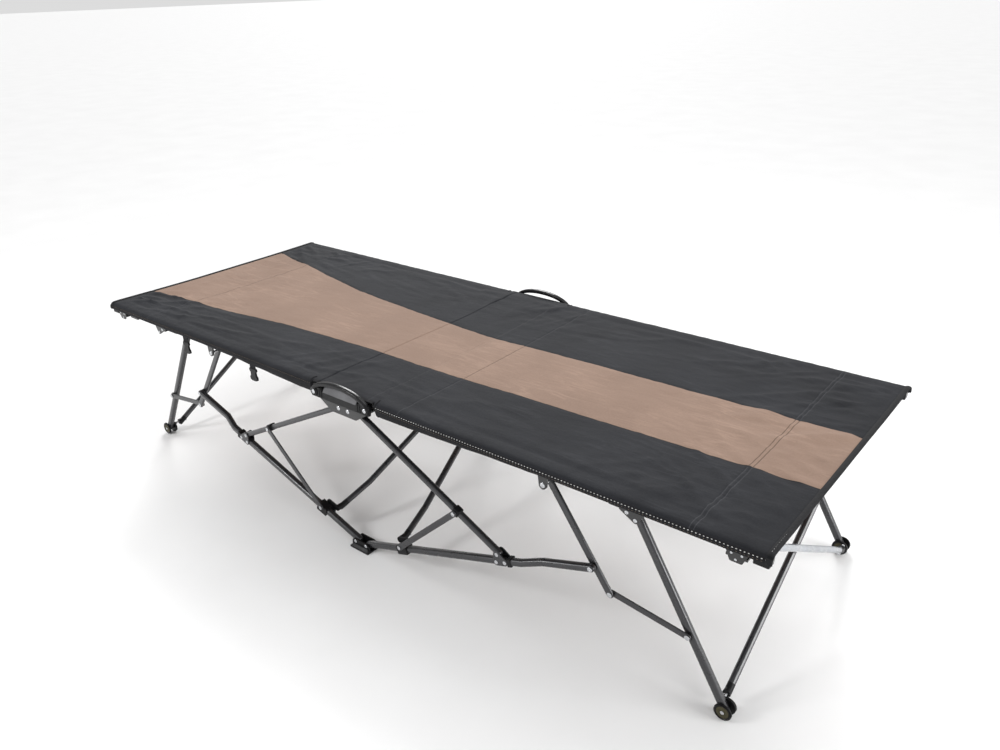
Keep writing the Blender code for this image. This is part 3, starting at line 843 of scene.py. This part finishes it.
def tube_ends(top, foot, half, side):
    """Both ends of a crossed tube: its top across the bed and its foot on this side."""
    run = Vector((foot.x - top.x, foot.z - top.z)).normalized()
    normal = Vector((-run.y, run.x))
    if normal.x < 0:
        normal.negate()
    shift = Vector((normal.x, 0, normal.y)) * (CROSS_OFFSET * side)
    high = Vector((top.x, -top.y, top.z)) + shift
    low = foot + shift
    return [Vector((half * p.x, side * p.y, p.z)) for p in (high, low)]


def tube_ways(kind, high, low):
    """The directions in which a tube leaves its foot and reaches its top; a centre tube bends between."""
    if kind == "end_tube":
        straight = (high - low).normalized()
        return straight, straight
    bend = low.lerp(high, 0.14) + Vector((0, 0, -0.016))
    return (bend - low).normalized(), (high - bend).normalized()


def add_boot(bm, start, end, radius, extra):
    """A sleeve over a tube's end, with a tapered lip."""
    way = end - start
    length = way.length
    profile = [(0, -extra), (radius * 0.8, -extra), (radius, 0.0015), (radius, length), (0, length)]
    add_lathe(bm, start, way, profile, 24)


def make_boots(name, ends, ways, knuckle, length, side):
    """The boots at both ends of a tube, and the knuckle through which its pin goes."""
    high, low = ends
    way, head_way = ways
    bm = bmesh.new()
    add_boot(bm, low - way * 0.0015, low + way * 0.026, BOOT_RADIUS - 0.0010, 0.0006)
    add_boot(bm, high + head_way * 0.0005, high - head_way * 0.022, BOOT_RADIUS - 0.0006, 0.0002)
    add_lathe(bm, knuckle, (0, side, 0), cylinder(BOOT_RADIUS - 0.001, length), 24)
    kind, tail = name
    new_piece(bm, f"{kind}_boots_{tail}", [PLASTIC], f"{kind}_{tail}")


def make_collar_lug(knuckle, half, side, tail):
    """The lug that joins a collar to the knuckle of its centre tube."""
    foot = Vector((abs(knuckle.x), knuckle.z))
    parts = ((outline_round([(COLLAR_PIVOT, 0.0100), (foot, 0.0085)]), COLLAR_LUG),)
    name = f"collar_lug_{tail}"
    plate_piece(name, PLASTIC, f"collar_{tail}", parts, half, side, 0.0008)


def make_tube_pin(name, body, knuckle, reach, side):
    inner = Vector((knuckle.x, side * (abs(knuckle.y) - 0.0125), knuckle.z))
    length = reach - abs(inner.y)
    profile = [
        (0, -0.0016), (PIN_RADIUS * 1.5, -0.0016), (PIN_RADIUS * 1.6, 0), (PIN_RADIUS, 0.0004),
        (PIN_RADIUS, length), (0, length)]
    bm = bmesh.new()
    add_lathe(bm, inner, (0, side, 0), profile, 20)
    new_piece(bm, name, [ZINC], body)


def make_tube_fittings():
    for side, half, tail in quarters():
        for kind, top, foot, reach, short, holder in TUBES:
            high, low = tube_ends(top, foot, half, side)
            ways = tube_ways(kind, high, low)
            knuckle = low + ways[0] * 0.011
            make_boots((kind, tail), (high, low), ways, knuckle, reach - short - abs(knuckle.y), side)
            if kind == "centre_tube":
                make_collar_lug(knuckle, half, side, tail)
            make_tube_pin(f"{kind}_pin_{tail}", f"{holder}_{tail}", knuckle, reach, side)


# ---- rail ends, leg plates, brackets and straps ----
RAIL_CAP = (
    (0, 0), (0.0098, 0.0), (0.0112, 0.0015), (0.0116, 0.0060), (0.0116, 0.0130), (0.0090, 0.0140),
    (0, 0.0140))


def make_rail_fittings():
    """The plastic caps of each rail, and the riveted plate above its outer leg."""
    x = OUTER_LEG_PIVOT.x
    top = [((x + shift, 0.4560), 0.004) for shift in (0.0060, 0.0520)]
    web = rectangle(x + 0.010, 0.4460, x + 0.048, 0.4520)
    plates = ((outline_round([*top, (LEG_PLATE_LOW, 0.0075)]), LEG_PLATE), (web, (0.3980, 0.4124)))
    for side, half, tail in quarters():
        bm = bmesh.new()
        add_lathe(bm, (half * 0.1045, side * RAIL_Y, RAIL_Z), (half, 0, 0), RAIL_CAP, 32)
        add_prism(bm, rectangle(1.066, 0.4480, 1.0965, 0.4700), (0.3925, 0.4135), half, side)
        new_piece(bm, f"rail_caps_{tail}", [PLASTIC], f"rail_{tail}", 0.0016)
        name = f"leg_plate_{tail}"
        plate_piece(name, BLACK_METAL, f"rail_{tail}", plates, half, side, 0.0007)


def bracket_outline(*rows):
    """A plate with rounded corners; each row gives its left and right x and its height."""
    return outline_round([(Vector((x, z)), 0.004) for left, right, z in rows for x in (left, right)])


def make_end_brackets():
    """A folded plate under the rail near its end, with a lug for the crossed tube."""
    plates = (
        (bracket_outline((1.018, 1.056, 0.4640), (1.027, 1.046, 0.4415)), OUTER_END_PLATE),
        (bracket_outline((1.010, 1.056, 0.4480), (1.012, 1.044, 0.4340)), INNER_END_PLATE),
        (rectangle(1.016, 0.4465, 1.058, 0.4520), (0.3850, 0.4150)),
        (rectangle(1.006, 0.4300, 1.046, 0.4500), (0.3812, 0.3852)))
    for side, half, tail in quarters():
        name = f"end_bracket_plates_{tail}"
        bracket = plate_piece(
            name, BLACK_METAL, f"rail_{tail}", plates, half, side, 0.0007)
        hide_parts(f"end_bracket_{tail}")


# right half of a buckle's outline, from its middle
BUCKLE = (
    (0.0140, 0.4410), (0.0152, 0.4340), (0.0105, 0.4290), (0.0112, 0.4200), (0.0156, 0.4150),
    (0.0148, 0.4070), (0.0070, 0.4040))


def make_straps():
    """Two short webbing tabs with a small buckle, below the near rail of the left half."""
    for number, x in enumerate(STRAPS, 1):
        tab = ((rectangle(x - 0.0125, 0.432, x + 0.0125, 0.458), (0.4120, 0.4136)),)
        plate_piece(f"strap_{number}", TAPE, "rail_near_left", tab, 1, -1, 0.0003)
        buckle = ((mirrored(BUCKLE, x), (0.4095, 0.4155)),)
        plate_piece(f"buckle_{number}", PLASTIC, "rail_near_left", buckle, 1, -1, 0.0010)


# ---- the bed cloth ----
# where the tan middle band starts and ends across the bed, at places along it
BAND_NEAR = (
    (-1.0975, -0.272), (-0.693, -0.236), (-0.476, -0.204), (-0.187, -0.188), (0.061, -0.186),
    (0.378, -0.174), (1.0975, -0.156))
BAND_FAR = (
    (-1.0975, 0.256), (-0.528, 0.132), (-0.206, 0.096), (0.061, 0.074), (0.437, 0.086), (1.0975, 0.096))
MIDDLE_SEAM = 0.193
END_SEAM = 0.952
LEFT_END_SEAM = -0.885
SEAMS = (MIDDLE_SEAM, END_SEAM, END_SEAM - 0.009, LEFT_END_SEAM)
# the sleeve is left out beside the hub, and starts between these two places
NOTCH_START, NOTCH_END = 0.1085, 0.1175
HUB_EDGE = 0.4150
HANG = 0.010
SIDE_FACE = 0.4178
TOP = 0.4790
SAG = 0.0030
LOWEST_CREASE = -0.0068
THICKNESS = 0.0012
# the edge of the cloth over a rail, from its lower end up: as a sleeve round the rail, or as a hem outside it
SLEEVE = (
    (0.3925, 0.4560), (0.3950, 0.4516), (0.4020, 0.4496), (0.4085, 0.4506), (0.4132, 0.4545),
    (0.4162, 0.4600), (0.4174, 0.4665), (0.4164, 0.4722), (0.4124, 0.4766), (0.4060, 0.4788))
HEM = (
    (0.4160, 0.4588), (0.4164, 0.4590), (0.4168, 0.4593), (0.4171, 0.4598), (0.4174, 0.4606),
    (SIDE_FACE, 0.4630), (SIDE_FACE, 0.4672), (0.4164, 0.4722), (0.4124, 0.4766), (0.4060, 0.4788))
# the last point of that edge that has the dark edging, and the cloth's materials by number
BOUND = 7
DARK, EDGING, BAND, BAND_CROSSING, DARK_CROSSING = range(5)
CLOTH_MATERIALS = (CANVAS, SEAM, TAN, TAN_SEAM, PALE_SEAM)
STITCH_PITCH = 0.0078
STITCH_LENGTH = 0.0034
CORNER_STITCHES = 9


def along_line(points, x):
    for (x0, y0), (x1, y1) in zip(points, points[1:]):
        if x <= x1:
            break
    share = (x - x0) / (x1 - x0)
    return y0 + (y1 - y0) * share


def smooth(value):
    value = min(1, max(0, value))
    return value * value * (3 - 2 * value)


def ridge(x, y, angle, spacing, seed):
    """Long soft folds that run along one direction, some of them sharp."""
    across = -x * math.sin(angle) + y * math.cos(angle)
    run = x * math.cos(angle) + y * math.sin(angle)
    wave = noise.noise(Vector((across / spacing, run / (spacing * 6), seed)))
    crest = noise.noise(Vector((across / (spacing * 2.4), run / (spacing * 11), seed + 0.5)))
    sharp = max(0, 1 - 4 * abs(crest))
    return 0.6 * wave + 0.9 * sharp * sharp


def crease_height(x, y):
    """How far the canvas stands off its plane: sag between the rails, broad waves and creases."""
    inside = smooth((0.405 - abs(y)) / 0.05)
    calm = smooth((HALF_LENGTH - 0.010 - abs(x)) / 0.03)
    corner = math.copysign(1, x * y)
    sag = -SAG * (1 - (y / 0.40) ** 2)
    sag += 0.0022 * noise.noise(Vector((x * 3.1, y * 4.3, 2.0)))
    waves = 0.0012 * noise.noise(Vector((x * 11.0, y * 9.0, 4.0)))
    # the parts of the bed that have folds of their own
    end = smooth((abs(x) - 0.55) / 0.40)
    strip = smooth((abs(x) - END_SEAM) / 0.02)
    hub = smooth(1 - abs(abs(x) - 0.14) / 0.28) * smooth((abs(y) - 0.12) / 0.22)
    side = smooth((abs(y) - 0.14) / 0.18)
    leg = smooth(1 - abs(abs(x) - 0.80) / 0.24) * smooth((abs(y) - 0.20) / 0.14)
    # height, part, angle to the bed's length, spacing, seed
    folds = (
        (0.0046, end, 0.62 * corner, 0.036, 5.0), (0.0022, end, 0.25 * corner, 0.018, 6.0),
        (0.0030, strip, 0.15, 0.020, 15.0), (0.0040, hub, 1.1 * corner, 0.028, 9.0),
        (0.0034, side, 0.12 * corner, 0.026, 12.0), (0.0040, leg, -0.75 * corner, 0.026, 21.0))
    for height, part, angle, spacing, seed in folds:
        waves += height * part * ridge(x, y, angle, spacing, seed)
    beyond_hub = smooth((abs(x) - 0.11) / 0.03)
    seam_line = 0.374 + 0.005 * noise.noise(Vector((x * 6, y, 8.0)))
    waves -= 0.0036 * smooth(1 - abs(abs(y) - seam_line) / 0.014) * beyond_hub
    height = inside * (sag + calm * waves)
    pucker = smooth((abs(y) - 0.355) / 0.04) * beyond_hub * calm
    height += 0.0011 * pucker * noise.noise(Vector((x * 55, y * 8, 3.0)))
    for boundary in (BAND_NEAR, BAND_FAR):
        near_seam = abs(y - along_line(boundary, x))
        height += 0.0010 * calm * smooth(1 - near_seam / 0.014) * noise.noise(Vector((x * 45, 7.0, 1.0)))
        height -= 0.0009 * smooth(1 - near_seam / 0.004)
    for seam in SEAMS:
        height -= 0.0008 * smooth(1 - abs(x - seam) / 0.0035) * inside
    return max(height, LOWEST_CREASE)


def wrap(x):
    """How far the lower edge of the cloth goes round the rail: 1 a full sleeve, 0 a hem."""
    ragged = 0.5 * noise.noise(Vector((x * 9, 3.0, 5.0))) + 0.25 * noise.noise(Vector((x * 31, 3.0, 6.0)))
    return smooth((0.62 - abs(x)) / 0.12 + ragged) if abs(x) > 0.30 else 1


def hang(x):
    """How far the sleeve bags below the rail, most beside the hub."""
    ragged = 0.25 * noise.noise(Vector((x * 14, 9.0, 5.0)))
    return HANG * max(0, smooth((0.56 - abs(x)) / 0.44) + ragged * smooth((0.60 - abs(x)) / 0.2))


def edge_profile(x):
    """Points of the cloth's edge from its lower end up onto the top; beside the hub it ends short of it."""
    share = smooth((abs(x) - NOTCH_START) / (NOTCH_END - NOTCH_START))
    around = wrap(x)
    count = len(SLEEVE)
    for i, (sleeve, hem) in enumerate(zip(SLEEVE, HEM)):
        turn = 1 - i / (count - 1)
        y = sleeve[0] * around + hem[0] * (1 - around)
        z = sleeve[1] * around + hem[1] * (1 - around) - hang(x) * smooth((turn - 0.3) / 0.35)
        plain = (HUB_EDGE - 0.010 * (1 - turn), TOP - 0.0022 * turn)
        yield y * share + plain[0] * (1 - share), z * share + plain[1] * (1 - share)


def across_points(x):
    """The cloth's cross-section at x: a list of (y, z) and of materials."""
    edge = list(edge_profile(x))
    near, far = along_line(BAND_NEAR, x), along_line(BAND_FAR, x)
    start, end = -edge[-1][0], edge[-1][0]
    seam = 0.0016
    points = [(-y, z) for y, z in edge]
    materials = [EDGING if i <= BOUND else DARK for i in range(len(edge))]
    stretches = (
        (start, near - seam, 26, DARK), (near - seam, near + seam, 2, EDGING),
        (near + seam, far - seam, 28, BAND),
        (far - seam, far + seam, 2, EDGING), (far + seam, end, 32, DARK))
    for low, high, steps, material in stretches:
        for i in range(1, steps + 1):
            points.append((low + (high - low) * i / steps, TOP))
            materials.append(material)
    points += reversed(edge[:-1])
    materials += [EDGING if i < BOUND else DARK for i in reversed(range(len(edge) - 1))]
    return points, materials


def cloth_point(x, y, z, share=1.0):
    top = smooth((z - 0.470) / 0.008)
    return Vector((x, y, z + share * top * crease_height(x, y)))


def cloth_stations(start, end):
    """Places along the bed: about 8 mm apart, closer beside the hub and at each cross seam."""
    places = {start, end}
    count = round((end - start) / 0.008)
    places.update(start + (end - start) * i / count for i in range(count + 1))
    for seam in SEAMS:
        places.update(seam + d for d in (-0.0035, -0.0009, 0.0009, 0.0035))
    for half in (1, -1):
        places.update(half * (NOTCH_START + (NOTCH_END - NOTCH_START) * i / 6) for i in range(7))
    return sorted(p for p in places if start <= p <= end)


def make_cloth(name, start, end, body, node, tuck=0.0):
    """One sheet of the bed. tuck is how far both of its ends reach below the sheets beside it."""
    xs = cloth_stations(start, end)
    drop = [0.0] * len(xs)
    if tuck:
        xs = [start - tuck, start - 0.0004, *xs, end + 0.0004, end + tuck]
        under = THICKNESS + 0.0003
        drop = [under, under, *drop, under, under]
    bm = bmesh.new()
    rows = []
    for x, down in zip(xs, drop):
        points, materials = across_points(x)
        rows.append([bm.verts.new(cloth_point(x, y, z) - Vector((0, 0, down))) for y, z in points])
    crossings = {DARK: DARK_CROSSING, BAND: BAND_CROSSING}
    for index, (row, following) in enumerate(zip(rows, rows[1:])):
        middle = (xs[index] + xs[index + 1]) / 2
        crossing = any(abs(middle - seam) < 0.0005 for seam in SEAMS)
        for i in range(len(row) - 1):
            face = bm.faces.new((row[i], following[i], following[i + 1], row[i + 1]))
            material = materials[i + 1]
            face.material_index = crossings.get(material, material) if crossing else material
    area = sum(face.calc_area() for face in bm.faces)
    cloth = new_piece(bm, name, CLOTH_MATERIALS, body, smooth_angle=60)
    apply_thickness(cloth, THICKNESS)
    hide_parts(node)
    flatten(cloth)
    length = xs[-1] - xs[0]
    return cloth, area / length, length


def apply_thickness(obj, thickness):
    solid = obj.modifiers.new("thickness", "SOLIDIFY")
    solid.thickness = thickness
    solid.offset = -1
    bpy.context.view_layer.update()
    made = bpy.data.meshes.new_from_object(obj.evaluated_get(bpy.context.evaluated_depsgraph_get()))
    obj.modifiers.clear()
    obj.data = made


def flatten(obj):
    """Gives the piece its own copy of its mesh."""
    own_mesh(obj)


def add_stitch(bm, place, direction, radius, material):
    """A short thread, thick in the middle."""
    profile = [
        (0, 0), (radius * 0.7, STITCH_LENGTH * 0.12), (radius, STITCH_LENGTH * 0.5),
        (radius * 0.7, STITCH_LENGTH * 0.88), (0, STITCH_LENGTH)]
    add_lathe(bm, place, direction, profile, 6, material)


def make_stitches(half_name, half):
    """Thread along the near edge of one half, and round the corner of the right one."""
    count = int((HALF_LENGTH - 0.004 - NOTCH_END) / STITCH_PITCH)
    # height, radius and material of each row: the right half also has a white one
    rows = [(0.4690, 0.00050, 1)]
    if half > 0:
        rows = [(0.4690, 0.00085, 0), (0.4636, 0.00050, 1)]
    bm = bmesh.new()
    for z, radius, material in rows:
        for i in range(count):
            x = half * (NOTCH_END + 0.004 + i * STITCH_PITCH)
            add_stitch(bm, Vector((x, -SIDE_FACE, z)), (1, 0, 0), radius, material)
    if half > 0:
        x = HALF_LENGTH - 0.0030
        for i in range(CORNER_STITCHES):
            y = -0.405 + i * STITCH_PITCH
            rise = crease_height(x, y) + 0.0019
            add_stitch(bm, Vector((x, y, TOP + rise)), (0, 1, 0), 0.00065, 0)
    name = f"stitches_{half_name}"
    stitches = new_piece(bm, name, [THREAD, THREAD_BROWN], f"rail_near_{half_name}")
    flatten(stitches)
    return stitches


def sweep(bm, route, section):
    """A closed strip: section gives the ring of offsets at a place on the route."""
    skin(bm, [[bm.verts.new(place + offset) for offset in section(place)] for place in route])


def edge_route(x, lowest):
    """Along the cloth's cross-section at x, from one hem over the top to the other."""
    edge = [(-y, z) for y, z in list(edge_profile(x))[lowest:]]
    across = [(y / 100, TOP) for y in range(-39, 40)] if lowest < len(SLEEVE) else []
    for y, z in edge + across + [(-y, z) for y, z in reversed(edge)]:
        rise = crease_height(x, y) if z >= TOP - 0.0005 else 0
        yield Vector((x, y, z + rise))


def eight_turns():
    return [math.tau * i / 8 for i in range(8)]


def binding_section(place):
    """A flat oval, upright below the top of the rail and lying on the cloth above it."""
    for turn in eight_turns():
        wide, thick = 0.0070 * math.cos(turn), 0.0030 * math.sin(turn)
        yield Vector((wide, thick, 0) if place.z < 0.4740 else (wide, 0, thick - 0.0004))


def piping_section(_place):
    """The same small circle everywhere along the route."""
    for turn in eight_turns():
        yield Vector((0.0017 * math.cos(turn), 0, 0.0017 * math.sin(turn)))


def make_end_binding(half_name, half):
    """A bound edge across the end of the bed, a little proud of the cloth."""
    bm = bmesh.new()
    sweep(bm, list(edge_route(half * (HALF_LENGTH - 0.002), 4)), binding_section)
    name = f"end_binding_{half_name}"
    binding = new_piece(bm, name, [TAPE], f"rail_near_{half_name}", smooth_angle=60)
    flatten(binding)
    return binding


def make_piping(half_name, half):
    """The black piping where each sleeve of one half starts beside a handle."""
    bm = bmesh.new()
    x = half * (NOTCH_END + 0.001)
    for side in (1, -1):
        edge = [Vector((x, side * y, z)) for y, z in edge_profile(x)]
        for i in range(1, 4):
            edge.append(Vector((x - half * 0.001 * i, side * (0.404 - 0.003 * i), TOP + 0.0002)))
        sweep(bm, edge[1:], piping_section)
    name = f"piping_{half_name}"
    piping = new_piece(bm, name, [SEAM], f"rail_near_{half_name}", smooth_angle=60)
    flatten(piping)
    return piping


# a fold cover: its width across the bed, its rows and columns, and the angles about the rail's pivot it spans
COVER_WIDTH = 0.748
COVER_ROWS, COVER_COLUMNS = 12, 60
COVER_START, COVER_SPAN = 108, 84


def make_fold_cover(half_name, half):
    """A curved strip under the cloth at the hub, which closes the bend when the bed folds."""
    bm = bmesh.new()
    rows = []
    below = 2 * THICKNESS + 0.0008
    for i in range(COVER_ROWS + 1):
        turn = math.radians(COVER_START - COVER_SPAN * i / COVER_ROWS)
        row = []
        for j in range(COVER_COLUMNS + 1):
            y = -COVER_WIDTH / 2 + COVER_WIDTH * j / COVER_COLUMNS
            radius = TOP + crease_height(half * SPLIT, y) - below - RAIL_PIVOT.y
            x = half * (RAIL_PIVOT.x + radius * math.cos(turn))
            row.append(bm.verts.new((x, y, RAIL_PIVOT.y + radius * math.sin(turn))))
        rows.append(row)
    near, far = (along_line(band, half * SPLIT) for band in (BAND_NEAR, BAND_FAR))
    for low, high in zip(rows, rows[1:]):
        for j in range(COVER_COLUMNS):
            face = bm.faces.new((low[j], low[j + 1], high[j + 1], high[j]))
            face.material_index = 1 if near < low[j].co.y + 0.006 < far else 0
    area = sum(face.calc_area() for face in bm.faces)
    bmesh.ops.recalc_face_normals(bm, faces=bm.faces)
    name = f"fold_cover_{half_name}"
    cover = new_piece(bm, name, [CANVAS, TAN], "hub_near", smooth_angle=60)
    apply_thickness(cover, 0.0008)
    flatten(cover)


def make_bed():
    bindings = {half_name: make_end_binding(half_name, half) for half_name, half in HALVES.items()}
    pipings = {half_name: make_piping(half_name, half) for half_name, half in HALVES.items()}
    stitches = {half_name: make_stitches(half_name, half) for half_name, half in HALVES.items()}
    spans = {"right": (SPLIT + 0.0001, HALF_LENGTH), "left": (-HALF_LENGTH, -SPLIT - 0.0001)}
    for half_name, (start, end) in spans.items():
        near_rail, far_rail = f"rail_near_{half_name}", f"rail_far_{half_name}"
        cloth, width, length = make_cloth(f"bed_{half_name}", start, end, near_rail, f"cloth_{half_name}")
    cloth, width, length = make_cloth("bed_centre", -SPLIT, SPLIT, "hub_near", "cloth_centre", 0.006)
    for half_name, half in HALVES.items():
        make_fold_cover(half_name, half)


set_camera()
set_light()
make_floor()
dress_nodes()
make_members()
make_handles()
make_feet()
make_tube_fittings()
make_rail_fittings()
make_end_brackets()
make_straps()
make_rivets()
make_roller_faces()
make_bed()

boxes = {"cad": cad_bounds, "visual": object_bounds()}
{key: [[float(v) for v in corner] for corner in box] for key, box in boxes.items()}
